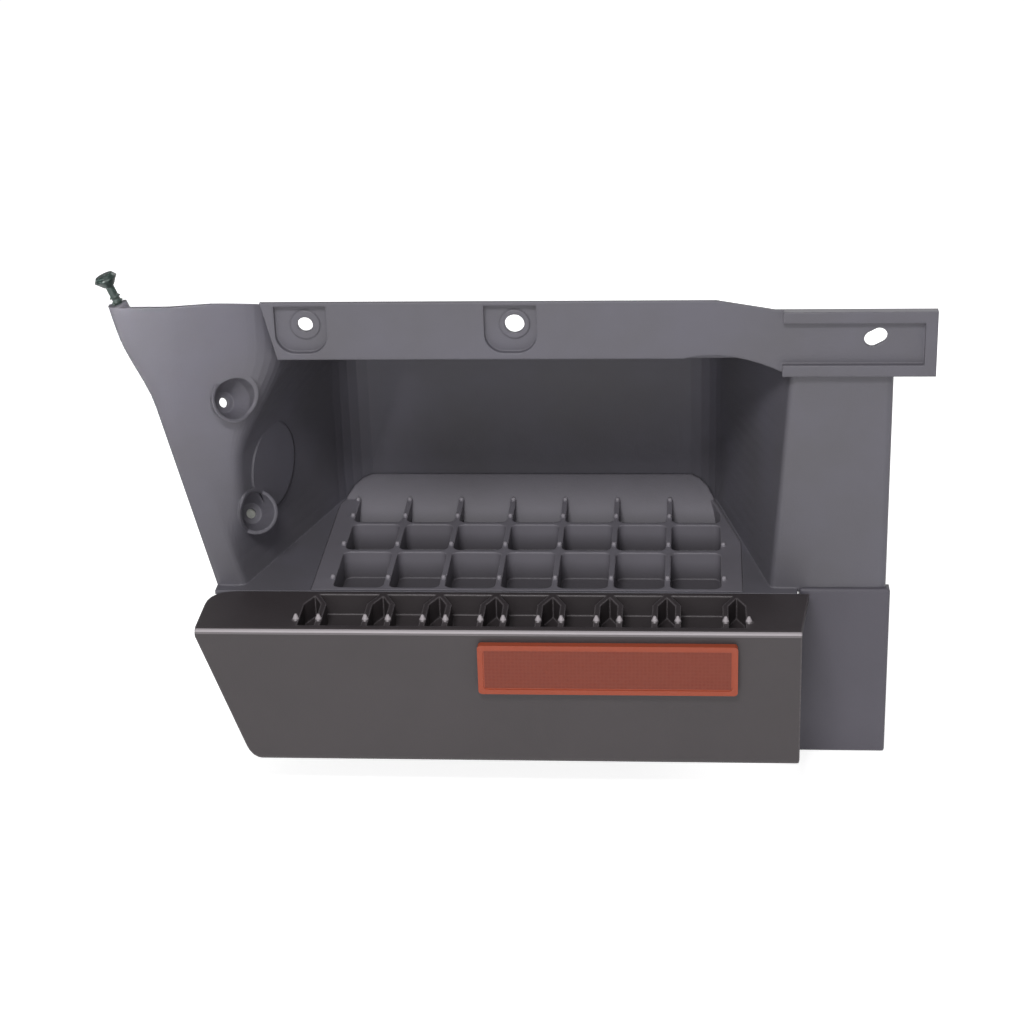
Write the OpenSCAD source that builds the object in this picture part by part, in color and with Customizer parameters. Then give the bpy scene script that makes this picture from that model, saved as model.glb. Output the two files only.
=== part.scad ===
// Step box for a light cab-over truck: foot box with its wheel-arch edge, tread board,
// front skirt with reflector, end cap, corner clip and fixings. Millimetres.
// X runs along the truck's side, Y goes inboard, Z is up. The origin is the middle
// mounting hole, on the face that its bolt head bears on.

/* [Walls and fits] */
// Thickness of the moulded walls
wall = 3; // [2.6:0.1:3.4]
// Clearance between pieces that seat on each other
fit = 0.3; // [0.2:0.05:0.5]

/* [Foot box] */
// Front plane of the upper body, behind the skirt's face
face_y = 78; // [75:1:84]
// Depth from the front plane to the back wall
bay_depth = 192; // [180:1:205]
// Height of the ceiling above the tread, at the mouth
bay_h = 194; // [188:1:200]
// Height of the ceiling at the back wall, low enough to look over through the bolt holes
bay_back_h = 138; // [130:1:142]
// Left end of the back wall, from the middle of the tread
back_left = 164; // [160:1:168]
// Right end of the back wall, from the middle of the tread
back_right = 148; // [145:1:152]
// Right edge of the mouth at the tread, from the middle of the tread
front_right = 194; // [190:1:198]
// How far the mouth's right edge moves out up to the ceiling
right_lean = 14; // [8:1:18]
// How far the back corners are cut to round them
corner_cut = 28; // [20:1:32]
// Rounding of the mouth's edges
edge_cut = 5; // [4.5:0.5:7]
// Front edge of the floor, where the skirt's top meets it
seam_y = 68; // [66:1:70]

/* [Wheel-arch edge] */
// Left edge at the foot, from the middle of the tread
arch_foot = 250.5; // [249:0.5:255]
// Lean of the left edge, outwards for each millimetre of height
arch_lean = 0.235; // [0.2:0.005:0.25]
// Extra sweep of the left edge near its top
arch_flare = 10; // [6:0.5:14]
// Inner ridge at the foot, from the middle of the tread
ridge_foot = 226.5; // [224:0.5:228]
// Lean of the inner ridge
ridge_lean = 0.28; // [0.25:0.01:0.3]
// Height up to which the ridge leans
ridge_top = 150; // [140:1:160]
// How far the sweep beside the ridge recedes, near the top
sweep_in = 18; // [14:1:22]
// Roll of the sweep into the side wall, near the top
sweep_cut = 26; // [20:1:30]
// Height of the top-left corner above the tread
arch_top = 236; // [234:0.1:240]
// Depth of the return lips behind the edges
lip_d = 10; // [8:0.5:14]

/* [Top flange and tab] */
// Height of the flange's top edge above the tread
flange_top = 240; // [239:0.1:242]
// How far the flange stands proud of the arch plate
flange_proud = 2; // [1.5:0.1:2.5]
// Left end of the flange, from the middle of the tread
flange_left = 197; // [195:1:199]
// Right end of the tab, from the middle of the tread
tab_right = 315; // [305:1:320]
// Left end of the tab's raised rim
tab_left = 200; // [196:1:204]
// Top of the tab
tab_top = 232.5; // [230:0.5:235]
// Bottom of the tab
tab_bottom = 181; // [179:1:184]
// Width of the tab's raised rim
rim_w = 9; // [7:0.5:11]
// How far the rim stands proud of the flange
rim_proud = 5; // [3:0.5:7]

/* [Mounting holes] */
// Middle hole, from the middle of the tread
hole_mid_x = -2.7; // [-6:0.1:6]
// Outer hole, from the middle of the tread
hole_out_x = -163.5; // [-168:0.5:-155]
// Height of both holes above the tread
hole_z = 221.2; // [219:0.1:223]
// Diameter of the middle hole
hole_mid_d = 15; // [12:0.5:16]
// Diameter of the outer hole
hole_out_d = 12; // [10:0.5:14]
// Width of a bolt pocket
pocket_w = 40; // [36:1:44]
// Height of a bolt pocket
pocket_h = 38; // [36:0.5:39]
// Depth of a bolt pocket
pocket_d = 5; // [4:0.5:7]
// Radius of the pocket's lower corners
pocket_r = 15; // [12:0.5:17]
// Distance from the pocket's middle to its hole
pocket_off = 3; // [0:0.5:5]
// Diameter of the raised washer face round a hole
washer_d = 23; // [20:0.5:25]
// Middle of the tab's slot, along X
slot_x = 269.5; // [262:0.5:275]
// Middle of the tab's slot, in height
slot_z = 211; // [209:0.5:213]
// Length of the slot
slot_l = 18; // [15:0.5:20]
// Width of the slot
slot_w = 12; // [10:0.5:13]
// Rise of the slot towards the right, in degrees
slot_tilt = 28; // [0:1:40]

/* [Right panel] */
// Right edge of the panel, from the middle of the tread
panel_right = 284.5; // [280:0.5:288]

/* [Side wall dimples] */
// Height of the upper dimple
dimple_hi_z = 157; // [152:1:160]
// Place of the upper dimple across the sweep, from 0 at the ridge to 1 at the side wall
dimple_hi_t = 0.63; // [0.58:0.01:0.68]
// Height of the lower dimple
dimple_lo_z = 52; // [48:1:56]
// Distance of the lower dimple from the side wall's front, as a share of the wall
dimple_lo_t = 0.11; // [0.1:0.01:0.14]
// Radius of a dimple's mouth
dimple_r = 15.5; // [14:0.5:17]
// Radius of a dimple's floor
dimple_floor_r = 8.5; // [8:0.5:10]
// Depth of a dimple
dimple_d = 14; // [12:0.5:15]
// Hole in a dimple's floor
dimple_hole_d = 8; // [6:0.5:9]
// Radius of the shallow dish behind the lower dimple
dish_r = 33; // [30:0.5:35]
// Depth of the dish
dish_d = 2.5; // [2:0.5:4]

/* [Tread] */
// Distance between neighbouring ribs
rib_pitch = 45; // [42:0.5:46]
// Room for the grid of cells across the tread
grid_room = 320; // [300:5:330]
// Width of a rib
rib_w = 4.5; // [3.5:0.5:5.5]
// Depth of the wells between the ribs
well_d = 24; // [20:0.5:26]
// Rounding of the wells' corners
well_r = 6; // [4:0.5:8]
// Floor under the wells
well_floor = 2.5; // [2:0.1:3]
// Plain margin beside the grid
margin = 14.5; // [12:0.5:16]
// Length of the front row of cells
row_front = 73.5; // [70:0.5:76]
// Length of the middle row of cells
row_mid = 55; // [50:1:60]
// Length of the back row of cells, up to the foot of the ramp
row_back = 50; // [46:1:54]
// Rise of the ramp at the back of the tread
ramp_h = 17; // [14:0.5:18]
// Height of the grip studs on the ribs
stud_h = 3; // [2:0.5:4]

/* [Skirt] */
// Left end of the skirt, from the middle of the tread
skirt_left = 253; // [250:1:258]
// Right end of the skirt, from the middle of the tread
skirt_right = 216; // [214:1:217]
// Height of the skirt
skirt_h = 116; // [110:1:120]
// How far the slanted end leans in
skirt_slant = 38; // [32:1:44]
// How far the nose's right end flares out from the face to the seam
skirt_flare = 8; // [5:0.5:9]
// Radius of the top front edge
nose_r = 6; // [5:0.5:8]
// Depth of the wells in the nose
nose_well_d = 18; // [14:0.5:18]
// Depth of the skirt's bottom return
skirt_return = 20; // [14:1:26]
// Height of the rail that the skirt is screwed to
rail_h = 48; // [44:1:54]
// Distance between the two ribs of a pair
pair_gap = 17.8; // [16:0.2:19]
// How far the outermost pairs stand outside the grid's edge
pair_out = 9.5; // [6:0.5:11]
// Height of the teeth behind the nose
tooth_h = 5; // [3:0.5:6]

/* [Reflector] */
// Length of the reflector
lens_l = 200; // [180:1:210]
// Height of the reflector
lens_h = 42; // [38:0.5:46]
// Thickness of the reflector's lens
lens_t = 6; // [5:0.5:8]
// Left end of the reflector, from the middle of the tread
lens_x = -32.5; // [-40:0.5:-25]
// Distance from the tread down to the reflector's top
lens_drop = 9.5; // [8:0.5:14]
// Distance of each stud from the reflector's middle
lens_stud_x = 70; // [60:1:80]
// Diameter of the reflector's studs
lens_stud_d = 5; // [4:0.5:6]

/* [End cap] */
// Left edge of the cap, from the middle of the tread
cap_left = 216.5; // [216:0.5:219]
// Right edge of the cap beyond the panel
cap_over = 3.3; // [3.1:0.1:5]
// Top of the cap above the tread
cap_top = 1; // [0:0.5:2]
// Height of the cap
cap_h = 147; // [140:1:152]
// Depth of the cap's side walls
cap_d = 18; // [14:1:22]
// Rounding of the cap's edges
cap_r = 3.5; // [3.2:0.1:5]
// Diameter of the pegs that hold the cap
peg_d = 6; // [5:0.5:7]

/* [Corner clip] */
// Lean of the clip towards the left, in degrees
clip_lean = 22; // [0:1:25]
// Diameter of the clip's shank
clip_d = 6.5; // [5.5:0.5:7.5]
// Diameter of the clip's head
clip_head_d = 18.5; // [16:0.5:20]
// Distance from the lip to the underside of the head
clip_stand = 17; // [12:0.5:20]

/* [Screws and nuts] */
// Diameter of the screws
screw_d = 4.8; // [4:0.1:5.5]
// Diameter of the screw heads
screw_head_d = 10; // [9:0.5:11]
// Height of the screw heads
screw_head_h = 3; // [2.5:0.1:3.5]
// Thickness of the spring steel
spring_t = 1; // [0.8:0.1:1.2]
// Outer diameter of a push nut
push_nut_d = 15; // [13:0.5:16]
// Length of the skirt's screws
rail_screw_l = 16; // [14:1:18]
// Length of the tread's screws
tread_screw_l = 13.3; // [12:0.1:15]
// Width of the skirt's spring nuts
rail_nut_w = 16; // [14:1:18]
// Width of the side wall's spring nut
side_nut_w = 13; // [12:1:14]

/* [Hidden] */
$fn = 48;
mould = [0.30, 0.29, 0.30];
mould_dark = [0.24, 0.23, 0.24];
amber = [0.72, 0.25, 0.16];
zinc = [0.72, 0.72, 0.70];
clip_green = [0.12, 0.16, 0.15];

// Foot box
back_y = face_y + bay_depth;
flange_y = face_y - flange_proud;
rim_y = flange_y - rim_proud;
pocket_y = flange_y + pocket_d;
arch_flare_z = [155, 215];
roll_x = [226, 186];
roll_z = [100, 200];
roll_in = 8;
lip_cut = wall * 1.5;
flange_return = sweep_in + flange_proud + sweep_cut / 2;
washer_lift = 1.2;
back_rib_x = [-105, -35, 35, 105];
gusset_x = [-125, -85, 45, 95, 150];
box_z = concat([-wall], [for (i = [1:17]) (bay_h - 8) * i / 17], [bay_h + wall]);
arch_z = [for (i = [0:5]) bay_h + (arch_top - bay_h) * i / 5];
ceiling_drop = (bay_h - bay_back_h) / bay_depth;

// Tread board and its tray
board_front = seam_y + wall + fit;
row_ends = [board_front + rib_w, board_front + row_front, board_front + row_front + row_mid,
            board_front + row_front + row_mid + row_back];
cells = floor(grid_room / rib_pitch);
grid_x = cells * rib_pitch / 2;
board_x = grid_x + margin;
board_back = row_ends[3];
board_bottom = -well_d - well_floor;
board_gap = 1.5;
tray_back = board_back + wall * 2.3;
tray_floor = board_bottom - fit;
stud_y = [row_ends[3] - 2, row_ends[1] + row_mid + 14, row_ends[1] + 12, row_ends[0] + 17];
tread_screw_y = [board_front + 20, board_front + 95];
tread_screw_x = grid_x + margin / 2;

// Skirt
top_back = seam_y - fit;
nose_land = nose_r + 2;
leg_back = top_back - wall - 2;
leg_front = leg_back - 17;
rail_screw_z = -rail_h + 13;
rail_screw_pitch = 88;
rail_screw_x = [for (i = [-2:2]) (skirt_right - skirt_left) / 2 + i * rail_screw_pitch];
nose_bottom = -nose_well_d - well_floor;
web_x = [-200, -110, -60, 40, 105, 190];
pair_x = [for (i = [0:cells]) (i - cells / 2) * rib_pitch
          + (i == 0 ? -pair_out : i == cells ? pair_out : 0)];

// Cap
cap_right = panel_right + cap_over;
cap_y = face_y - fit - wall;
cap_rail_left = cap_left + wall + 1.5;
cap_rail_bottom = cap_top - cap_h + wall + 3;
peg_x = (cap_left + cap_right) / 2;
peg_z = [cap_top - cap_h * 0.25, cap_top - cap_h * 0.8];

// Reflector
lens_mid = [lens_x + lens_l / 2, -lens_drop - lens_h / 2];

// Dimples and dish of the side wall
hi_m = sweep_point(dimple_hi_t, dimple_hi_z);
lo_m = side_point(dimple_lo_t, dimple_lo_z);
hi_d = unit([-0.62, 0.66, -0.42]);
lo_d = unit([-0.42, 0.78, -0.46]);
dish_m = side_point(dimple_lo_t + 0.17, dimple_lo_z + 28);
dish_n = side_out(dimple_lo_t + 0.17, dimple_lo_z + 28);

// Corner clip
clip_base = [-arch_x(arch_top) + 8, face_y + wall + 4.5, arch_top];
clip_axis = [-sin(clip_lean), 0, cos(clip_lean)];

function mix(a, b, t) = a + (b - a) * t;
function ease(from, to, v) = let(t = min(1, max(0, (v - from) / (to - from)))) t * t * (3 - 2 * t);
function unit(v) = v / norm(v);

// Curve of n steps from a to b, drawn towards v
function bend(a, v, b, n) =
    [for (i = [0:n]) let(t = i / n) a * (1 - t) * (1 - t) + v * 2 * t * (1 - t) + b * t * t];

// Rounded corner at v, cut back along both of its sides
function corner(before, v, after, cut, n) =
    bend(v + unit(before - v) * cut, v, v + unit(after - v) * cut, n);

// The path moved to its left by d, with mitred corners
function shift(p, d) =
    [for (i = [0:len(p) - 1])
        let(a = unit(p[max(i, 1)] - p[max(i, 1) - 1]),
            b = unit(p[min(i, len(p) - 2) + 1] - p[min(i, len(p) - 2)]),
            n = unit([-(a.y + b.y), a.x + b.x]))
        p[i] + n * d / (n * [-a.y, a.x])];

// Plan of the foot box at height z, from the wheel-arch edge over the ridge and the roll to the right panel
function arch_x(z) = arch_foot + arch_lean * z + arch_flare * ease(arch_flare_z[0], arch_flare_z[1], z);
function ridge(z) = [-ridge_foot - ridge_lean * min(z, ridge_top), face_y];
function back_l(z) = [-back_left, back_y];
function back_r(z) = [back_right, back_y];
function mouth_r(z) = [front_right + right_lean * z / bay_h, face_y];
function roll(z) =
    let(high = ease(roll_z[0], roll_z[1], z),
        foot = mix(ridge(z), back_l(z), 0.12),
        full = [-mix(roll_x[0], roll_x[1], high), face_y + mix(roll_in, sweep_in, high)])
    mix(foot, full, ease(0, 60, z));
function roll_cut(z) = mix(8, sweep_cut, ease(roll_z[0], 180, z));

// The front of the plan, as far as the roll into the side wall
function front_path(z) =
    let(left = [-arch_x(z), face_y], lip = [0, lip_d])
    concat([left + lip], corner(left + lip, left, ridge(z), lip_cut, 2),
           corner(left, ridge(z), roll(z), edge_cut, 3),
           corner(ridge(z), roll(z), back_l(z), roll_cut(z), 7));

function bay_path(z) =
    concat(corner([-arch_x(z), face_y], ridge(z), roll(z), edge_cut, 3),
           corner(ridge(z), roll(z), back_l(z), roll_cut(z), 7), side_run(z), back_path(z));
function side_run(z) =
    let(way = unit(back_l(z) - roll(z)),
        a = roll(z) + way * roll_cut(z),
        b = back_l(z) - way * corner_cut)
    [for (t = [0.25, 0.5, 0.75]) mix(a, b, t)];
function back_path(z) =
    concat(corner(roll(z), back_l(z), back_r(z), corner_cut, 5),
           corner(back_l(z), back_r(z), mouth_r(z), corner_cut, 5),
           corner(back_r(z), mouth_r(z), [panel_right, face_y], edge_cut, 3));

function box_path(z) =
    let(right = [panel_right, face_y], lip = [0, lip_d])
    concat(front_path(z), side_run(z), back_path(z), corner(mouth_r(z), right, right + lip, lip_cut, 2),
           [right + lip]);

function ceiling_z(y) = bay_h - (y - face_y) * ceiling_drop;

// Points on the sweep and on the side wall, with the direction out of the box there
function sweep_point(t, z) = let(p = mix(ridge(z), roll(z), t)) [p.x, p.y, z];
function side_point(t, z) = let(p = mix(roll(z), back_l(z), t)) [p.x, p.y, z];
function sweep_out(t, z) = unit(cross(sweep_point(t, z + 2) - sweep_point(t, z - 2),
                                      sweep_point(t + 0.1, z) - sweep_point(t - 0.1, z)));
function side_out(t, z) = unit(cross(side_point(t, z + 2) - side_point(t, z - 2),
                                     side_point(t + 0.1, z) - side_point(t - 0.1, z)));

// Solid sheet through the rings, each ring a path at one height, thickened to the left
module sheet(zs, paths) {
    m = len(zs);
    n = len(paths[0]);
    front = [for (j = [0:m - 1]) for (p = paths[j]) [p.x, p.y, zs[j]]];
    back = [for (j = [0:m - 1]) for (p = shift(paths[j], wall)) [p.x, p.y, zs[j]]];
    function f(i, j) = j * n + i;
    function b(i, j) = (m + j) * n + i;
    sides = [for (j = [0:m - 2]) for (i = [0:n - 2]) each [
        [f(i, j), f(i, j + 1), f(i + 1, j + 1)], [f(i, j), f(i + 1, j + 1), f(i + 1, j)],
        [b(i, j), b(i + 1, j + 1), b(i, j + 1)], [b(i, j), b(i + 1, j), b(i + 1, j + 1)]]];
    rims = [for (i = [0:n - 2]) each [
        [f(i, 0), f(i + 1, 0), b(i + 1, 0)], [f(i, 0), b(i + 1, 0), b(i, 0)],
        [f(i, m - 1), b(i + 1, m - 1), f(i + 1, m - 1)], [f(i, m - 1), b(i, m - 1), b(i + 1, m - 1)]]];
    ends = [for (j = [0:m - 2]) each [
        [f(0, j), b(0, j), b(0, j + 1)], [f(0, j), b(0, j + 1), f(0, j + 1)],
        [f(n - 1, j), b(n - 1, j + 1), b(n - 1, j)], [f(n - 1, j), f(n - 1, j + 1), b(n - 1, j + 1)]]];
    polyhedron(concat(front, back), concat(sides, rims, ends));
}

// The row frame: everything is drawn from the tread's middle and then moved to the middle hole
module seat() translate([-hole_mid_x, -pocket_y + washer_lift, -hole_z]) children();

// A flat shape in X and Z, from y inboard by t
module upright(y, t) translate([0, y + t, 0]) rotate([90, 0, 0]) linear_extrude(t) children();

// A flat shape in Y and Z, from x0 to x1
module along(x0, x1) translate([x0, 0, 0]) rotate([90, 0, 90]) linear_extrude(x1 - x0) children();

// A flat shape in X and Y, from z0 up to z1
module layer(z0, z1) translate([0, 0, z0]) linear_extrude(z1 - z0) children();

// Turns +Z to the direction d, at the point p
module aim(p, d) translate(p) rotate([0, acos(d.z), atan2(d.y, d.x)]) children();

module bolt_pocket_2d(x, grow) {
    r = pocket_r;
    lo = flange_top - wall - pocket_h;
    x0 = x - pocket_off - pocket_w / 2 - grow;
    w = pocket_w + 2 * grow;
    translate([x0, lo + r]) square([w, flange_top - wall - lo - r + grow]);
    translate([x0 + r, lo - grow]) square([w - 2 * r, r + 1]);
    for (cx = [x0 + r, x0 + w - r]) translate([cx, lo + r - grow]) circle(r);
    translate([x0, lo + r - grow]) square([w, grow + 1]);
}

module flange_2d() polygon(concat(
    [[-flange_left + 11, bay_h], [-flange_left, flange_top], [tab_left - 50, flange_top],
     [tab_left - 6, tab_top], [tab_right, tab_top], [tab_right, tab_bottom]],
    bend([tab_left + 4, tab_bottom], [tab_left - 38, bay_h + 9], [tab_left - 75, bay_h], 8)));

// Left end of the flange, which returns to the sweep behind it
module flange_end_2d() polygon([
    [-flange_left + 11, bay_h], [-flange_left, flange_top],
    [-flange_left + wall, flange_top], [-flange_left + 11 + wall, bay_h]]);

module tab_rim_2d() difference() {
    translate([tab_left, tab_bottom]) square([tab_right - tab_left, tab_top - tab_bottom]);
    translate([tab_left - 1, tab_bottom + rim_w])
        square([tab_right - tab_left - rim_w + 1, tab_top - tab_bottom - 2 * rim_w]);
}

module slot_2d(grow = 0) translate([slot_x, slot_z]) rotate(slot_tilt) {
    for (s = [-1, 1]) translate([s * (slot_l - slot_w) / 2, 0]) circle(slot_w / 2 + grow);
    square([slot_l - slot_w, slot_w + 2 * grow], center = true);
}

// Cup round a dimple that sinks along d from the point m, behind the wall whose outward direction is n
module dimple_cup(m, d, n) {
    aim(m, d) translate([0, 0, -1])
        cylinder(r1 = dimple_r + wall, r2 = dimple_floor_r + wall, h = dimple_d + wall + 1);
    intersection() {
        aim(m, d) translate([0, 0, -22]) cylinder(r = dimple_r + wall, h = 22);
        aim(m, n) translate([-45, -45, 0.3]) cube([90, 90, 40]);
    }
}
module dimple_cut(m, d) aim(m, d) {
    cylinder(r1 = dimple_r, r2 = dimple_floor_r, h = dimple_d);
    translate([0, 0, -25]) cylinder(r = dimple_r, h = 25.01);
    cylinder(d = dimple_hole_d, h = dimple_d + 3 * wall);
}
module dish(grow) aim(dish_m, dish_n) translate([0, 0, -grow / 2])
    cylinder(r1 = dish_r + grow, r2 = dish_r - 8 + grow, h = dish_d + grow * 1.5);

// Plan of the tread board, grown by g
function board_outline(g) =
    let(p = shift(bay_path(0), g - board_gap))
    [for (i = [3:len(p) - 3]) p[i]];
module board_2d(g) intersection() {
    polygon(concat([[-board_x - 60, board_front - g]], board_outline(g), [[board_x + 60, board_front - g]]));
    translate([-board_x - g, board_front - g]) square([2 * (board_x + g), back_y]);
}

module floor_plate() {
    p = shift(bay_path(0), wall / 2);
    difference() {
        union() {
            layer(-wall, 0) polygon(concat([[p[0].x, seam_y]], p, [[p[len(p) - 1].x, seam_y]]));
            translate([-arch_foot + 1, seam_y, -wall])
                cube([arch_foot + skirt_right - 2, face_y + wall - 1 - seam_y, wall]);
        }
        layer(-wall - 1, 1) tray_2d(fit);
    }
    difference() {
        layer(tray_floor - wall, -0.5) tray_2d(fit + wall);
        layer(tray_floor, 1) tray_2d(fit);
        for (x = [-1, 1], y = tread_screw_y)
            translate([x * tread_screw_x, y, tray_floor - wall - 1])
                cylinder(d = screw_d + 0.4, h = wall + 2);
    }
}
module tray_2d(g) intersection() {
    board_2d(g);
    translate([-board_x * 2, 0]) square([board_x * 4, tray_back + g]);
}

// Ceiling, which falls towards the back wall, and the space above it
module ceiling_plate() {
    top = bay_path(bay_h);
    p = [for (i = [0:len(top) - 1]) shift(bay_path(ceiling_z(top[i].y)), wall * 0.8)[i]];
    intersection() {
        above_ceiling(face_y + 1, 0);
        layer(bay_back_h - 2 * wall, bay_h + wall) polygon(concat(
            [[-flange_left + 11, face_y + 1]], [for (i = [9:len(p) - 1]) p[i]],
            [[p[len(p) - 1].x, face_y + 1]]));
    }
}
module above_ceiling(y0, lift) difference() {
    y1 = back_y + 2 * wall;
    along(-back_left - 36, front_right + right_lean + wall)
        polygon([[y0, ceiling_z(y0) + lift], [y1, ceiling_z(y1) + lift], [y1, bay_h + 20], [y0, bay_h + 20]]);
    if (lift == 0) translate([0, 0, wall]) above_ceiling(y0 - 1, 0.01);
}

module rails() {
    upright(seam_y, wall) translate([-ridge_foot, -rail_h]) square([ridge_foot + skirt_right - 2, rail_h]);
    upright(face_y, wall) translate([cap_rail_left, cap_rail_bottom])
        square([panel_right - cap_rail_left, -cap_rail_bottom]);
    translate([panel_right - wall, face_y, cap_rail_bottom]) cube([wall, lip_d, -cap_rail_bottom]);
}

module back_ribs() for (x = back_rib_x)
    translate([x - wall / 2, back_y + wall / 2, 0]) cube([wall, wall / 2 + 5, bay_back_h - 4]);

module flange_gussets() for (x = gusset_x)
    along(x - wall / 2, x + wall / 2) polygon([
        [face_y + 0.5, ceiling_z(face_y) + wall / 2], [face_y + 0.5, tab_top - 12],
        [face_y + 42, ceiling_z(face_y + 42) + wall / 2]]);

// Foot box: one large moulding with the mouth, flange, arch edge, panel and rails
module step_housing() color(mould) seat() difference() {
    union() {
        difference() {
            sheet(box_z, [for (z = box_z) box_path(z)]);
            above_ceiling(face_y + sweep_in + sweep_cut - 2, wall);
        }
        sheet(arch_z, [for (z = arch_z) front_path(z)]);
        floor_plate();
        ceiling_plate();
        rails();
        back_ribs();
        flange_gussets();
        upright(flange_y, wall) flange_2d();
        upright(flange_y, flange_return) flange_end_2d();
        upright(rim_y, rim_proud + 1) tab_rim_2d();
        for (x = [hole_out_x, hole_mid_x]) upright(flange_y, pocket_d + wall) bolt_pocket_2d(x, wall);
        dimple_cup(hi_m, hi_d, sweep_out(dimple_hi_t, dimple_hi_z));
        dimple_cup(lo_m, lo_d, side_out(dimple_lo_t, dimple_lo_z));
        dish(wall);
        aim(clip_base, clip_axis) translate([0, 0, -7]) cylinder(d = clip_d + 7, h = 8);
    }
    for (x = [hole_out_x, hole_mid_x]) difference() {
        upright(flange_y - 1, pocket_d + 1) bolt_pocket_2d(x, 0);
        translate([x, pocket_y - washer_lift, hole_z]) rotate([-90, 0, 0]) cylinder(d = washer_d, h = 9);
    }
    translate([hole_mid_x, rim_y, hole_z]) rotate([-90, 0, 0]) cylinder(d = hole_mid_d, h = 30);
    translate([hole_out_x, rim_y, hole_z]) rotate([-90, 0, 0]) cylinder(d = hole_out_d, h = 30);
    upright(rim_y, 30) slot_2d();
    dimple_cut(hi_m, hi_d);
    dimple_cut(lo_m, lo_d);
    dish(0);
    for (x = rail_screw_x) translate([x, seam_y - 1, rail_screw_z]) rotate([-90, 0, 0])
        cylinder(d = screw_d + 0.4, h = wall + 2);
    for (z = peg_z) translate([peg_x, face_y - 1, z]) rotate([-90, 0, 0])
        cylinder(d = peg_d + 0.6, h = wall + 2);
    aim(clip_base, clip_axis) translate([0, 0, -12]) cylinder(d = clip_d + 0.6, h = 20);
}

// Section of the tread board along Y, with the ramp that leans on the back wall
module board_section_2d() {
    t = wall * sqrt(2);
    top = [board_back + ramp_h, ramp_h];
    polygon([[board_front, board_bottom], [board_back + t + board_bottom, board_bottom],
             top + [t / 2, -t / 2], top, [board_back, 0], [board_front, 0]]);
}

// A rectangle with rounded corners
module soft_2d(x0, y0, x1, y1, r) {
    translate([x0 + r, y0]) square([x1 - x0 - 2 * r, y1 - y0]);
    translate([x0, y0 + r]) square([x1 - x0, y1 - y0 - 2 * r]);
    for (x = [x0 + r, x1 - r], y = [y0 + r, y1 - r]) translate([x, y]) circle(r, $fn = 24);
}

module stud() cylinder(r1 = rib_w * 0.52, r2 = rib_w * 0.3, h = stud_h, $fn = 24);

// Waffle board that lies in the tray, with deep wells, grip studs and an upturned back
module tread_board() color(mould) seat() {
    difference() {
        intersection() {
            along(-board_x, board_x) board_section_2d();
            layer(board_bottom, ramp_h + 1) board_2d(0);
        }
        intersection() {
            along(-grid_x, grid_x) polygon([
                [row_ends[0], 1], [row_ends[0], -well_d],
                [board_back - well_d, -well_d], [board_back + 1, 1]]);
            layer(-well_d, 1) board_2d(-wall);
            layer(-well_d, 1) for (i = [0:cells - 1], j = [0:2]) {
                x = (i - cells / 2) * rib_pitch + rib_w / 2;
                y0 = row_ends[j] + (j == 0 ? 0 : rib_w / 2);
                y1 = row_ends[j + 1] + (j == 2 ? 2 * well_r : -rib_w / 2);
                soft_2d(x, y0, x + rib_pitch - rib_w, y1, well_r);
            }
        }
        for (x = [-1, 1], y = tread_screw_y)
            translate([x * tread_screw_x, y, board_bottom - 1]) cylinder(d = screw_d, h = 15);
    }
    for (i = [0:cells], y = stud_y) if (i < cells || y < row_ends[2])
        translate([(i - cells / 2) * rib_pitch, y, -0.2]) stud();
}

// Outline of the skirt seen from the front, moved in by d
function skirt_edge(d) =
    let(p = shift([[-skirt_left, 0], [-skirt_left, -nose_r], [-skirt_left + skirt_slant, -skirt_h],
                   [skirt_right, -skirt_h], [skirt_right, 0]], d))
    concat([p[0], p[1]], corner(p[1], p[2], p[3], 14 - d, 5), corner(p[2], p[3], p[4], 5 - d, 3), [p[4]]);

module skirt_section_2d() {
    nose = corner([0, -40], [0, 0], [40, 0], nose_r, 6);
    foot = corner([40, -skirt_h], [0, -skirt_h], [0, -40], 5, 4);
    polygon(concat(foot, nose, [[top_back, 0], [top_back, -rail_h], [skirt_return, -skirt_h]]));
}

// Plan of the skirt, moved in by d and rounded at the left of its seam
module skirt_plan_2d(d) polygon(shift(concat(
    [[-skirt_left, -2 * wall]], corner([-skirt_left, 0], [-skirt_left, top_back], [0, top_back], 24, 6),
    [[skirt_right, top_back], [skirt_right, -2 * wall]]), -d));

// Corner of the nose that flares towards the end cap
module skirt_flare_2d() polygon([
    [skirt_right - wall, nose_r], [skirt_right, nose_r], [skirt_right + skirt_flare, top_back],
    [skirt_right - wall, top_back]]);

// Wells in the nose: a pointed one inside each pair of ribs and a wide one between pairs
module nose_wells() layer(-nose_well_d, 1) {
    h = pair_gap / 2;
    for (x = pair_x) polygon([
        [x - h + rib_w / 2, nose_land], [x + h - rib_w / 2, nose_land], [x + h - rib_w / 2, leg_front],
        [x, leg_back - 3], [x - h + rib_w / 2, leg_front]]);
    for (i = [0:cells - 1]) {
        a = pair_x[i];
        b = pair_x[i + 1];
        polygon([
            [a + h + rib_w / 2, nose_land], [b - h - rib_w / 2, nose_land], [b - h - rib_w / 2, leg_front],
            [b - rib_w * 0.7, leg_back], [a + rib_w * 0.7, leg_back], [a + h + rib_w / 2, leg_front]]);
    }
}

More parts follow.
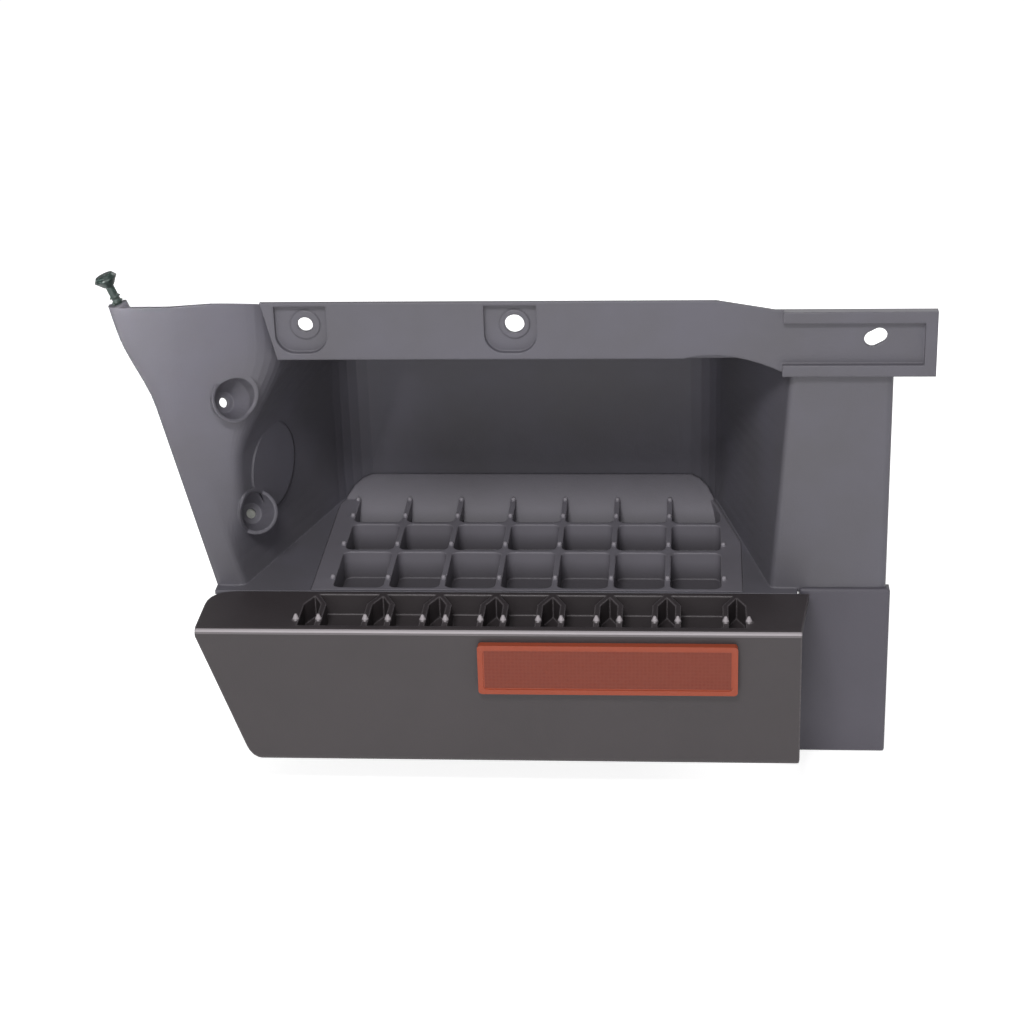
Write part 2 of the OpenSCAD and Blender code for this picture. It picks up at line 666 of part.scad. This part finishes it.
// Front skirt: nose with the outer row of wells, fascia, slanted end and screw flange
module front_skirt() color(mould) seat() {
    block_x = pair_x[cells] + pair_gap / 2 + rib_w + wall;
    difference() {
        intersection() {
            upright(0, top_back) polygon(skirt_edge(0));
            along(-skirt_left, skirt_right) skirt_section_2d();
            layer(-skirt_h, 0) skirt_plan_2d(0);
        }
        difference() {
            intersection() {
                upright(wall, 100) polygon(skirt_edge(wall));
                along(-skirt_left, skirt_right) polygon([
                    [wall, -skirt_h + wall], [wall, -nose_r], [nose_r, -wall], [top_back - wall, -wall],
                    [top_back - wall, -rail_h - 1], [100, -rail_h - 1], [100, -skirt_h + wall]]);
                layer(-skirt_h, 0) skirt_plan_2d(wall);
            }
            translate([-block_x, wall, nose_bottom]) cube([2 * block_x, top_back - wall, -nose_bottom]);
            for (x = web_x) along(x - wall / 2, x + wall / 2) polygon([
                [0, 0], [0, -skirt_h + 1], [skirt_return - 4, -skirt_h + 1],
                [wall * 3, -40], [top_back - 12, 0]]);
        }
        nose_wells();
        for (x = rail_screw_x) translate([x, top_back - wall - 1, rail_screw_z]) rotate([-90, 0, 0])
            cylinder(d = screw_d + 0.8, h = wall + 2);
        for (s = [-1, 1]) translate([lens_mid.x + s * lens_stud_x, -1, lens_mid.y]) rotate([-90, 0, 0])
            cylinder(d = lens_stud_d + 0.6, h = wall + 2);
    }
    layer(-2 * wall, 0) skirt_flare_2d();
    for (x = pair_x, s = [-1, 1]) translate([x + s * pair_gap / 2, nose_land + 10, -0.2])
        cylinder(r1 = rib_w * 0.7, r2 = rib_w * 0.2, h = tooth_h);
}

// Cap over the lower end of the panel, held by pegs pushed through the rail
module end_cap() color(mould) seat() {
    w = cap_right - cap_left;
    z0 = cap_top - cap_h;
    back = cap_y + cap_d;
    difference() {
        intersection() {
            upright(cap_y, cap_d) soft_2d(cap_left, z0, cap_right, cap_top, cap_r);
            layer(z0, cap_top) polygon(concat([[cap_left, back]],
                corner([cap_left, back], [cap_left, cap_y], [cap_right, cap_y], cap_r, 5),
                corner([cap_left, cap_y], [cap_right, cap_y], [cap_right, back], cap_r, 5),
                [[cap_right, back]]));
            along(cap_left, cap_right) polygon(concat([[back, z0]],
                corner([back, z0], [cap_y, z0], [cap_y, cap_top], cap_r, 5),
                corner([cap_y, z0], [cap_y, cap_top], [back, cap_top], cap_r, 5), [[back, cap_top]]));
        }
        translate([cap_left + wall, face_y - fit, cap_top - cap_h + wall])
            cube([w - 2 * wall, cap_d, cap_h - wall + 1]);
        translate([cap_left - 1, face_y - fit, -wall - fit]) cube([w + 2, cap_d, cap_h]);
    }
    for (z = peg_z) translate([peg_x, face_y - fit - 1, z]) rotate([-90, 0, 0]) {
        cylinder(d = peg_d, h = 12);
        translate([0, 0, 12]) cylinder(d1 = peg_d, d2 = peg_d - 2, h = 2);
    }
}

module lens_2d(in) soft_2d(lens_x + in, lens_mid.y - lens_h / 2 + in,
                           lens_x + lens_l - in, lens_mid.y + lens_h / 2 - in, 3);

// Reflector lens: a shallow tray of amber acrylic with a raised frame round its field
module reflector_lens() color(amber) seat() difference() {
    upright(-fit - lens_t, lens_t) lens_2d(0);
    upright(-fit - lens_t - 1, 1.8) lens_2d(4);
    upright(-fit - 3.2, 4) lens_2d(2);
}

// Reflector base: back plate welded into the lens, with two studs through the fascia
module reflector_base() color(mould_dark) seat() {
    upright(-fit - 3, 3) lens_2d(2.2);
    for (s = [-1, 1]) translate([lens_mid.x + s * lens_stud_x, -fit - 1, lens_mid.y]) rotate([-90, 0, 0]) {
        cylinder(d = lens_stud_d, h = wall + 10);
        translate([0, 0, wall + 10]) cylinder(d1 = lens_stud_d, d2 = lens_stud_d - 2, h = 1.5);
    }
}

// Domed spring-steel push nut with three gripping slots
module push_nut(bore) difference() {
    union() {
        cylinder(d = push_nut_d, h = spring_t);
        cylinder(d1 = bore + 6, d2 = bore + 3, h = spring_t + 1.4);
    }
    translate([0, 0, -1]) cylinder(d = bore, h = spring_t + 4);
    translate([0, 0, -0.01]) cylinder(d1 = bore + 4, d2 = bore, h = 1.4);
    for (a = [0, 120, 240]) rotate(a) translate([0, -0.6, -1]) cube([bore / 2 + 2.4, 1.2, spring_t + 4]);
}

module reflector_push_nuts() color(zinc) seat()
    for (s = [-1, 1]) translate([lens_mid.x + s * lens_stud_x, wall, lens_mid.y])
        rotate([-90, 0, 0]) push_nut(lens_stud_d);

module cap_push_nuts() color(zinc) seat()
    for (z = peg_z) translate([peg_x, face_y + wall, z]) rotate([-90, 0, 0]) push_nut(peg_d);

// Fir-tree clip that stands in the top-left corner, with a flared head and finned tail
module corner_clip() color(clip_green) seat() aim(clip_base, clip_axis) {
    translate([0, 0, -10]) cylinder(d = clip_d, h = 10 + clip_stand);
    translate([0, 0, -14]) cylinder(d1 = clip_d - 3, d2 = clip_d + 1.5, h = 4.5);
    translate([0, 0, clip_stand - 0.5]) cylinder(d1 = clip_d + 2, d2 = clip_head_d, h = 6);
    translate([0, 0, clip_stand + 5.5]) cylinder(d1 = clip_head_d, d2 = clip_head_d - 5, h = 3.5);
    for (h = [3, 7]) translate([0, 0, h]) cylinder(d1 = clip_d + 3, d2 = clip_d, h = 1.5);
}

// Pan-head screw, its head's seat at z 0 and its shank along +Z
module screw(l) {
    difference() {
        translate([0, 0, -screw_head_h]) cylinder(d1 = screw_head_d - 3, d2 = screw_head_d, h = screw_head_h);
        for (a = [0, 90]) rotate(a) translate([-2.5, -0.5, -screw_head_h - 1]) cube([5, 1, 2.4]);
    }
    cylinder(d = screw_d, h = l - 2);
    translate([0, 0, l - 2]) cylinder(d1 = screw_d, d2 = screw_d - 2.4, h = 2);
}

module tread_screws() color(zinc) seat()
    for (x = [-1, 1], y = tread_screw_y)
        translate([x * tread_screw_x, y, tray_floor - wall]) screw(tread_screw_l);

module skirt_screws() color(zinc) seat()
    for (x = rail_screw_x) translate([x, seam_y + wall, rail_screw_z]) rotate([90, 0, 0]) screw(rail_screw_l);

// Flat spring nut with a raised, slotted collar, its seat at z 0
module spring_nut(w) difference() {
    union() {
        translate([-w / 2, -w / 2, 0]) cube([w, w, spring_t]);
        cylinder(d1 = screw_d + 4, d2 = screw_d + 2, h = spring_t + 1);
    }
    translate([0, 0, -1]) cylinder(d = screw_d, h = spring_t + 3);
    translate([-w / 2 + 2.5, -0.5, -1]) cube([w - 5, 1, spring_t + 3]);
}

module skirt_spring_nuts() color(zinc) seat()
    for (x = rail_screw_x) translate([x, top_back - wall, rail_screw_z]) rotate([90, 0, 0])
        spring_nut(rail_nut_w);

module side_wall_spring_nut() color(zinc) seat()
    aim(lo_m, lo_d) translate([0, 0, dimple_d + wall]) spring_nut(side_nut_w);

step_housing();
tread_board();
front_skirt();
end_cap();
reflector_lens();
reflector_base();
reflector_push_nuts();
corner_clip();
cap_push_nuts();
tread_screws();
skirt_screws();
skirt_spring_nuts();
side_wall_spring_nut();
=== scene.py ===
import math

import bmesh
import bpy
from mathutils import Matrix, Vector


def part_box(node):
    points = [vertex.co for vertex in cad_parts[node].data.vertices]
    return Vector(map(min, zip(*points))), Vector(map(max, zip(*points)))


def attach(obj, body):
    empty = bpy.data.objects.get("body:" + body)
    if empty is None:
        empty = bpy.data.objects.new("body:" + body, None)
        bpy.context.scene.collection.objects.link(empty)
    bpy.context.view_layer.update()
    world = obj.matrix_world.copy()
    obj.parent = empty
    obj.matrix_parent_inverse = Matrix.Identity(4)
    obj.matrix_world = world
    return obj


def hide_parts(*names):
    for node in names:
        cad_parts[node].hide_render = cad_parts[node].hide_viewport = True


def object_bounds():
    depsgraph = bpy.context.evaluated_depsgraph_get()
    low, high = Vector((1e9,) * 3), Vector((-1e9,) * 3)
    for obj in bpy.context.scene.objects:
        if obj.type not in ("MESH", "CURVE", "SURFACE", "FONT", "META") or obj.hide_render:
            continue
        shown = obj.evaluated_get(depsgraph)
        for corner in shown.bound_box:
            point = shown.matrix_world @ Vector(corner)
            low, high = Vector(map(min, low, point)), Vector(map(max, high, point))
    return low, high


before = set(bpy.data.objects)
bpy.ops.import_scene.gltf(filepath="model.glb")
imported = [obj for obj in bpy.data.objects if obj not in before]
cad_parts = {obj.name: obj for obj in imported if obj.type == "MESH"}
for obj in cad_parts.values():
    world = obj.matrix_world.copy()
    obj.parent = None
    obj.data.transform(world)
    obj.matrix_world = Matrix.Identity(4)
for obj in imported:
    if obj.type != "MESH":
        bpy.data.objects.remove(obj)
cad_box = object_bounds()

# Camera: at the photograph's angle, 1.9 m away and a metre above the floor, looking down into the
# foot box through a short telephoto lens.
EYE = Vector((0.13961, -1.67331, 0.59494))
PITCH, YAW, ROLL = (math.radians(angle) for angle in (24.106, 4.995, 1.901))
LENS_MM = 82.16
SENSOR_MM = 36.0
SEES_TO_M = 60.0

ahead = Vector((-math.sin(YAW) * math.cos(PITCH), math.cos(YAW) * math.cos(PITCH), -math.sin(PITCH)))
level_right = Vector((math.cos(YAW), math.sin(YAW), 0.0))
level_down = ahead.cross(level_right)
right = math.cos(ROLL) * level_right + math.sin(ROLL) * level_down
down = math.cos(ROLL) * level_down - math.sin(ROLL) * level_right
camera_data = bpy.data.cameras.new("camera")
camera_data.sensor_width = SENSOR_MM
camera_data.lens = LENS_MM
camera_data.clip_end = SEES_TO_M
camera = bpy.data.objects.new("camera", camera_data)
camera.matrix_world = Matrix.Translation(EYE) @ Matrix((right, -down, -ahead)).transposed().to_4x4()
bpy.context.scene.collection.objects.link(camera)
bpy.context.scene.camera = camera
bpy.context.scene.view_settings.view_transform = "Standard"

# Studio: white paper on the floor, a soft box above the front, a wide one before it and one behind
# it, and a small one with a grid that lights the wheel-arch edge from the left. The paper glows only
# for the camera and in gloss and glass, so it shows white and still keeps the soft shadow.
FLOOR_DROP = 0.0005
FLOOR_HALF = 14.0
PAPER_GLOW = 0.78
ROOM_LIGHT = 0.25


def colour(code):
    """An sRGB hex colour as linear light."""
    parts = [int(code[i:i + 2], 16) / 255 for i in (1, 3, 5)]
    return [p / 12.92 if p <= 0.04045 else ((p + 0.055) / 1.055) ** 2.4 for p in parts] + [1.0]


def add(tree, kind, inputs, **settings):
    """Adds a shader node. An input is a plain value, or another node's output to link to."""
    node = tree.nodes.new("ShaderNode" + kind)
    for name, value in settings.items():
        setattr(node, name, value)
    for name, value in inputs.items():
        if isinstance(value, bpy.types.NodeSocket):
            tree.links.new(value, node.inputs[name])
        else:
            node.inputs[name].default_value = value
    return node


def new_material(name):
    """An empty material, its node tree and the socket that its surface goes to."""
    material = bpy.data.materials.new(name)
    material.use_nodes = True
    tree = material.node_tree
    for node in list(tree.nodes):
        if node.type != "OUTPUT_MATERIAL":
            tree.nodes.remove(node)
    return material, tree, tree.nodes["Material Output"].inputs["Surface"]


floor_z = cad_box[0][2] - FLOOR_DROP
floor_corners = [(x * FLOOR_HALF, y * FLOOR_HALF, floor_z) for x, y in ((-1, -1), (1, -1), (1, 1), (-1, 1))]
floor_mesh = bpy.data.meshes.new("studio_floor")
floor_mesh.from_pydata(floor_corners, [], [(0, 1, 2, 3)])
floor = bpy.data.objects.new("studio_floor", floor_mesh)
bpy.context.scene.collection.objects.link(floor)
paper, tree, surface = new_material("white_background_paper")
matt = add(tree, "BsdfPrincipled", {"Base Color": colour("#f2f2f2"), "Roughness": 0.9})
glow = add(tree, "Emission", {"Color": colour("#ffffff"), "Strength": PAPER_GLOW})
glowing = add(tree, "AddShader", {0: matt.outputs[0], 1: glow.outputs[0]})
ray = add(tree, "LightPath", {})
mirrored = add(tree, "Math", {0: ray.outputs["Is Glossy Ray"], 1: ray.outputs["Is Transmission Ray"]},
               operation="MAXIMUM")
shows_white = add(tree, "Math", {0: ray.outputs["Is Camera Ray"], 1: mirrored.outputs[0]}, operation="MAXIMUM")
seen = add(tree, "MixShader", {"Fac": shows_white.outputs[0], 1: matt.outputs[0], 2: glowing.outputs[0]})
tree.links.new(seen.outputs[0], surface)
floor_mesh.materials.append(paper)

world = bpy.data.worlds.new("studio_room")
world.use_nodes = True
bpy.context.scene.world = world
world.node_tree.nodes["Background"].inputs["Color"].default_value = colour("#ffffff")
world.node_tree.nodes["Background"].inputs["Strength"].default_value = ROOM_LIGHT

# name, place, point aimed at, width, height, spread in degrees, power in watts
SOFT_BOXES = [
    ("soft_box_key", (-0.15, -1.15, 1.12), (0.0, 0.0, -0.15), 0.5, 0.3, 180, 15.0),
    ("soft_box_front", (-0.1, -2.0, 0.45), (0.0, 0.0, -0.2), 1.2, 0.8, 180, 10.0),
    ("soft_box_left_with_grid", (-0.7, -0.95, 0.45), (-0.37, 0.0, 0.03), 0.16, 0.16, 13, 0.17),
    ("soft_box_back", (0.5, 1.7, 1.1), (0.0, 0.1, -0.15), 1.2, 0.8, 180, 12.0),
]
for name, place, target, width, height, spread, power in SOFT_BOXES:
    lamp_data = bpy.data.lights.new(name, "AREA")
    lamp_data.shape = "RECTANGLE"
    lamp_data.size, lamp_data.size_y, lamp_data.energy = width, height, power
    lamp_data.spread = math.radians(spread)
    lamp = bpy.data.objects.new(name, lamp_data)
    lamp.location = place
    lamp.rotation_euler = (Vector(target) - Vector(place)).to_track_quat("-Z", "Y").to_euler()
    bpy.context.scene.collection.objects.link(lamp)

# Step housing: foot box, wheel-arch edge, top flange and tray, injection-moulded in one piece
# from talc-filled polypropylene that is coloured in the mass. The mould is spark-eroded, so the
# skin has a fine grain and a dull sheen that comes up on the rounded edges.
GRAIN_MM = 1.6  # the real grain is about 0.6 mm, which is under a pixel here
FLOW_MM = 90.0  # the clouds in the sheen where the melt flowed
POLYPROPYLENE_IOR = 1.49
EDGE_MM = 2.2  # how wide an edge is rubbed
EDGE_FLAT, EDGE_ROUND, EDGE_PALENESS = 0.995, 0.86, 0.55  # cosines of the edge's turn, and how pale it gets
TREAD_TOP = -0.2212
TIPS_FROM, TIPS_FULL = 0.0004, 0.0016  # metres above the tread, where the tips start to turn pale and where they are fully pale
RAMP_FOOT_Y = 0.1695  # the tread board's back turns up here, and the pale tips stop before it
WELL_SHADE_FROM, WELL_SHADE_FULL = 0.008, 0.025  # metres below the tread, where the painted shade of the wells starts and where it is full
NOSE_HIGHLIGHT_FACES = (0.0, -0.76, 0.65)  # the way the painted highlight on the nose faces, between the skirt's top and its front
NOSE_HIGHLIGHT_FROM, NOSE_HIGHLIGHT_FULL = 0.9, 0.99  # cosines of the angle to that direction, where the painted highlight starts and where it is full


def moulded_plastic(name, shade, sheen_shade, rubbed_and_highlight_shade, roughness,
                    pale_tips=False, painted_nose_highlight=False, painted_well_shade=None):
    """Spark-grained plastic with a slightly uneven sheen and pale worn edges. It can pale what stands above
    the tread, give the edge between top and front a painted highlight, and darken what lies deep below
    the tread with a painted shade of the wells."""
    material, tree, surface = new_material(name)
    place = add(tree, "TexCoord", {}).outputs["Object"]
    grain = add(tree, "TexNoise", {"Vector": place, "Scale": 1000 / GRAIN_MM, "Detail": 2.0, "Roughness": 0.6})
    flow = add(tree, "TexNoise", {"Vector": place, "Scale": 1000 / FLOW_MM, "Detail": 4.0, "Roughness": 0.55})
    mottle = add(tree, "MapRange", {"Value": flow.outputs[0], "From Min": 0.35, "From Max": 0.65})
    body = add(tree, "Mix", {0: mottle.outputs[0], 6: colour(shade), 7: colour(sheen_shade)}, data_type="RGBA")
    # Painted shade: what lies deep below the tread, down in the wells, darkens towards the given shade.
    if painted_well_shade:
        height = add(tree, "SeparateXYZ", {0: place}).outputs[2]
        sunk = add(tree, "MapRange", {"Value": height, "From Min": TREAD_TOP - WELL_SHADE_FROM,
                                      "From Max": TREAD_TOP - WELL_SHADE_FULL})
        body = add(tree, "Mix", {0: sunk.outputs[0], 6: body.outputs[2], 7: colour(painted_well_shade)},
                   data_type="RGBA")
    rounded = add(tree, "Bevel", {"Radius": EDGE_MM / 1000}, samples=6)
    straight = add(tree, "NewGeometry", {})
    turned = add(tree, "VectorMath", {0: rounded.outputs[0], 1: straight.outputs["Normal"]},
                 operation="DOT_PRODUCT")
    edge = add(tree, "MapRange", {"Value": turned.outputs["Value"], "From Min": EDGE_FLAT,
                                  "From Max": EDGE_ROUND, "To Min": 0.0, "To Max": EDGE_PALENESS})
    patchy = add(tree, "Math", {0: edge.outputs[0], 1: grain.outputs[0]}, operation="MULTIPLY")
    wear_and_highlight = patchy.outputs[0]
    if pale_tips:
        across = add(tree, "SeparateXYZ", {0: place})
        tips = add(tree, "MapRange", {"Value": across.outputs[2], "From Min": TREAD_TOP + TIPS_FROM,
                                      "From Max": TREAD_TOP + TIPS_FULL})
        off_ramp = add(tree, "Math", {0: across.outputs[1], 1: RAMP_FOOT_Y}, operation="LESS_THAN")
        pale = add(tree, "Math", {0: tips.outputs[0], 1: off_ramp.outputs[0]}, operation="MULTIPLY")
        wear_and_highlight = add(tree, "Math", {0: wear_and_highlight, 1: pale.outputs[0]}, operation="MAXIMUM").outputs[0]
    # Painted highlight: the rounded edge between the skirt's top and its front, which faces up and forward,
    # turns pale.
    if painted_nose_highlight:
        facing = add(tree, "VectorMath", {0: straight.outputs["Normal"], 1: NOSE_HIGHLIGHT_FACES},
                     operation="DOT_PRODUCT")
        nose = add(tree, "MapRange", {"Value": facing.outputs["Value"], "From Min": NOSE_HIGHLIGHT_FROM,
                                      "From Max": NOSE_HIGHLIGHT_FULL})
        wear_and_highlight = add(tree, "Math", {0: wear_and_highlight, 1: nose.outputs[0]}, operation="MAXIMUM").outputs[0]
    worn_and_highlit = add(tree, "Mix", {0: wear_and_highlight, 6: body.outputs[2], 7: colour(rubbed_and_highlight_shade)}, data_type="RGBA")
    gloss = add(tree, "MapRange", {"Value": flow.outputs[0], "From Min": 0.3, "From Max": 0.7,
                                   "To Min": roughness - 0.04, "To Max": roughness + 0.06})
    relief = add(tree, "Bump", {"Strength": 0.35, "Distance": 0.00025, "Height": grain.outputs[0],
                                "Normal": rounded.outputs[0]})
    skin = add(tree, "BsdfPrincipled", {"Base Color": worn_and_highlit.outputs[2], "Roughness": gloss.outputs[0],
                                        "IOR": POLYPROPYLENE_IOR, "Normal": relief.outputs[0]})
    tree.links.new(skin.outputs[0], surface)
    return material


# The housing's own piece is its solid with the free edge behind the flange's left end trimmed to a
# slope, because nothing of that edge shows above the flange in the photograph.
TRIM_FROM_X = -0.25
TRIM_THROUGH = (0.0, -0.0008, 0.0188)
TRIM_SLOPE = 0.45
WELD_M = 1e-6

shape = bmesh.new()
shape.from_mesh(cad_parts["step_housing"].data)
bmesh.ops.remove_doubles(shape, verts=shape.verts, dist=WELD_M)
everything = shape.verts[:] + shape.edges[:] + shape.faces[:]
bmesh.ops.bisect_plane(shape, geom=everything, plane_co=(TRIM_FROM_X, 0, 0), plane_no=(1, 0, 0))
beyond = {}
for face in shape.faces:
    if face.calc_center_median().x > TRIM_FROM_X:
        beyond.update(dict.fromkeys([face, *face.edges, *face.verts]))
trimmed = bmesh.ops.bisect_plane(shape, geom=list(beyond), plane_co=TRIM_THROUGH, plane_no=(0, TRIM_SLOPE, 1),
                                 clear_outer=True)
rims = [part for part in trimmed["geom_cut"] if isinstance(part, bmesh.types.BMEdge) and part.is_boundary]
bmesh.ops.holes_fill(shape, edges=rims)
housing_mesh = bpy.data.meshes.new("step_housing_moulding")
shape.to_mesh(housing_mesh)
shape.free()
housing_mesh.shade_flat()
housing_mesh.materials.append(
    moulded_plastic("grained_polypropylene_housing", "#5d5b61", "#63616a", "#85828a", 0.5))
housing = bpy.data.objects.new("step_housing_moulding", housing_mesh)
bpy.context.scene.collection.objects.link(housing)
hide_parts("step_housing")
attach(housing, "root")


# Tread board: the waffle that the boot stands on, screwed onto the tray of the housing, from the
#  same polypropylene. The tips of its grip studs are paler, and its wells darken with depth in a painted
#  shade.
def finish_with(node, material):
    """Gives a CAD node its real finish."""
    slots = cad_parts[node].data.materials
    slots.clear()
    slots.append(material)


finish_with("tread_board", moulded_plastic(
    "grained_polypropylene_tread", "#6f6c73", "#76737b", "#97939a", 0.5,
    pale_tips=True, painted_well_shade="#545156"))

# Front skirt: the outer row of wells and the fascia below them, one moulding from the same
#  polypropylene in a warmer black. Its nose carries a painted highlight, and the tips of the teeth behind it
#  are paler.
finish_with("front_skirt", moulded_plastic(
    "grained_polypropylene_skirt", "#3b3638", "#413c3e", "#aea7ab", 0.48,
    pale_tips=True, painted_nose_highlight=True))

# End cap: closes the lower end of the right panel, pegged from behind. It is the housing's
# polypropylene, a little darker, because it was moulded apart.
finish_with("end_cap", moulded_plastic(
    "grained_polypropylene_cap", "#514e57", "#57545d", "#77747c", 0.5))

# Reflector: an amber-red acrylic lens with a field of fine prisms on its back, welded into a black
# ABS base. The smooth border is lighter, because no prisms lie behind it.
PRISM_MM = 3.0
BORDER_MM = 5.0
CAST_MM = 22.0  # patches of a warmer red in the moulded acrylic

lens_low, lens_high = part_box("reflector_lens")
acrylic, tree, surface = new_material("moulded_acrylic_reflector")
place = add(tree, "TexCoord", {}).outputs["Object"]
across = add(tree, "SeparateXYZ", {0: place})
inside = []
for axis in (0, 2):
    middle = (lens_low[axis] + lens_high[axis]) / 2
    half = (lens_high[axis] - lens_low[axis]) / 2 - BORDER_MM / 1000
    off = add(tree, "Math", {0: across.outputs[axis], 1: middle}, operation="SUBTRACT")
    far = add(tree, "Math", {0: off.outputs[0]}, operation="ABSOLUTE")
    inside.append(add(tree, "Math", {0: far.outputs[0], 1: half}, operation="LESS_THAN").outputs[0])
field = add(tree, "Math", {0: inside[0], 1: inside[1]}, operation="MULTIPLY")
prisms = add(tree, "TexVoronoi", {"Vector": place, "Scale": 1000 / PRISM_MM, "Randomness": 0.15}, feature="F1")
facets = add(tree, "MapRange", {"Value": prisms.outputs["Distance"], "From Min": 0.0, "From Max": 0.7})
cast = add(tree, "TexNoise", {"Vector": place, "Scale": 1000 / CAST_MM, "Detail": 2.0})
warm = add(tree, "MapRange", {"Value": cast.outputs[0], "From Min": 0.38, "From Max": 0.62})
shade = add(tree, "Mix", {0: warm.outputs[0], 6: colour("#711d0e"), 7: colour("#72290f")}, data_type="RGBA")
deep = add(tree, "Mix", {0: facets.outputs[0], 6: shade.outputs[2], 7: colour("#7f3623")}, data_type="RGBA")
whole = add(tree, "Mix", {0: field.outputs[0], 6: colour("#a0482f"), 7: deep.outputs[2]}, data_type="RGBA")
ridges = add(tree, "Bump", {"Strength": 0.25, "Distance": 0.0004, "Height": facets.outputs[0]})
polished = add(tree, "BsdfPrincipled", {"Base Color": whole.outputs[2], "Roughness": 0.22, "IOR": 1.49,
                                        "Normal": ridges.outputs[0], "Specular IOR Level": 0.35})
tree.links.new(polished.outputs[0], surface)
finish_with("reflector_lens", acrylic)
finish_with("reflector_base", moulded_plastic("moulded_abs_base", "#2b2a2b", "#302f30", "#5c5a5b", 0.4))

# Corner clip: a fir-tree clip of dark green-black nylon, moulded with a slight gloss and pushed
# through the corner of the wheel-arch edge.
finish_with("corner_clip", moulded_plastic("moulded_nylon_clip", "#1f2b28", "#26332f", "#4c5a55", 0.38))

# Screws, push nuts and spring nuts: cold-formed or stamped steel with a bright zinc plating,
# which gives a slightly mottled grey with a soft, cloudy gloss.
CLOUD_MM = 2.5

zinc, tree, surface = new_material("zinc_plated_steel")
place = add(tree, "TexCoord", {}).outputs["Object"]
cloud = add(tree, "TexNoise", {"Vector": place, "Scale": 1000 / CLOUD_MM, "Detail": 3.0})
plating = add(tree, "Mix", {0: cloud.outputs[0], 6: colour("#a3a49e"), 7: colour("#c6c7c2")}, data_type="RGBA")
haze = add(tree, "MapRange", {"Value": cloud.outputs[0], "To Min": 0.28, "To Max": 0.45})
metal = add(tree, "BsdfPrincipled", {"Base Color": plating.outputs[2], "Metallic": 1.0,
                                     "Roughness": haze.outputs[0]})
tree.links.new(metal.outputs[0], surface)
for node in ("reflector_push_nuts", "cap_push_nuts", "tread_screws", "skirt_screws", "skirt_spring_nuts"):
    finish_with(node, zinc)

# Spring nut behind the lower dimple: the same zinc-plated spring steel, with a closed end pressed
# into it, so that no light and no road dirt comes through the hole.
NUT_SEAT = Vector((-0.223884, 0.040375, -0.177034))
NUT_AXIS = Vector((-0.42, 0.78, -0.46)).normalized()
END_R, END_TIP_R, END_T = 0.0052, 0.0046, 0.0008
END_BEHIND_SEAT = 1.5 * END_T

shape = bmesh.new()
shape.from_mesh(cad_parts["side_wall_spring_nut"].data)
end_turn = NUT_AXIS.to_track_quat("Z", "Y").to_matrix().to_4x4()
bmesh.ops.create_cone(shape, cap_ends=True, segments=32, radius1=END_R, radius2=END_TIP_R, depth=END_T,
                      matrix=Matrix.Translation(NUT_SEAT + NUT_AXIS * END_BEHIND_SEAT) @ end_turn)
nut_mesh = bpy.data.meshes.new("closed_spring_nut")
shape.to_mesh(nut_mesh)
shape.free()
nut_mesh.materials.append(zinc)
nut = bpy.data.objects.new("closed_spring_nut", nut_mesh)
bpy.context.scene.collection.objects.link(nut)
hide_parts("side_wall_spring_nut")
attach(nut, "root")
